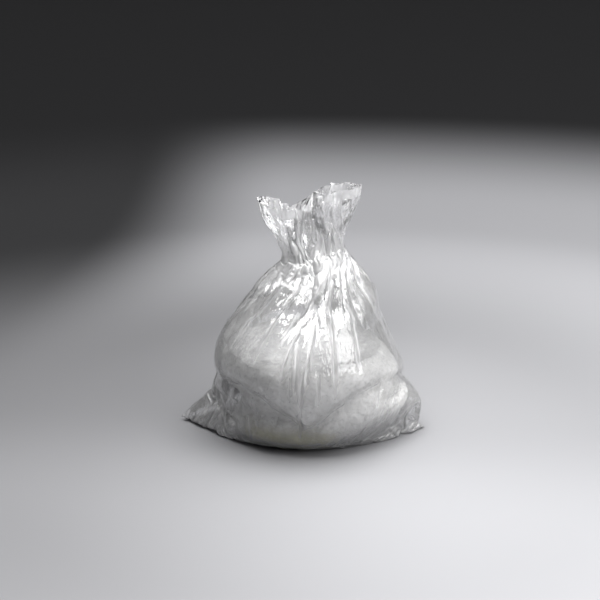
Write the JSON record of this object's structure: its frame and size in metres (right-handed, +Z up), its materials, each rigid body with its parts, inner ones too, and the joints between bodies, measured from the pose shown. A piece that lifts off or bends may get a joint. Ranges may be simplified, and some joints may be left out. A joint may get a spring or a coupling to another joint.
{
  "type": "garbage bag",
  "caption": "Clear film rubbish bag, loosely filled, standing on its own base with its mouth gathered and flaring above the neck.",
  "frame": {"origin": "middle of the bottom seam, on the floor", "axes": "+X along the bottom seam towards the bag's blunter corner, +Y to the back, +Z up"},
  "size_m": [0.5044, 0.4066, 0.5],
  "materials": {
    "film": "clear, slightly milky thin film, glossy",
    "filling": "pale grey crumpled scraps of film and foam"
  },
  "bodies": {
    "root": {"film_bag": "film", "loose_filling": "filling"}
  },
  "joints": []
}
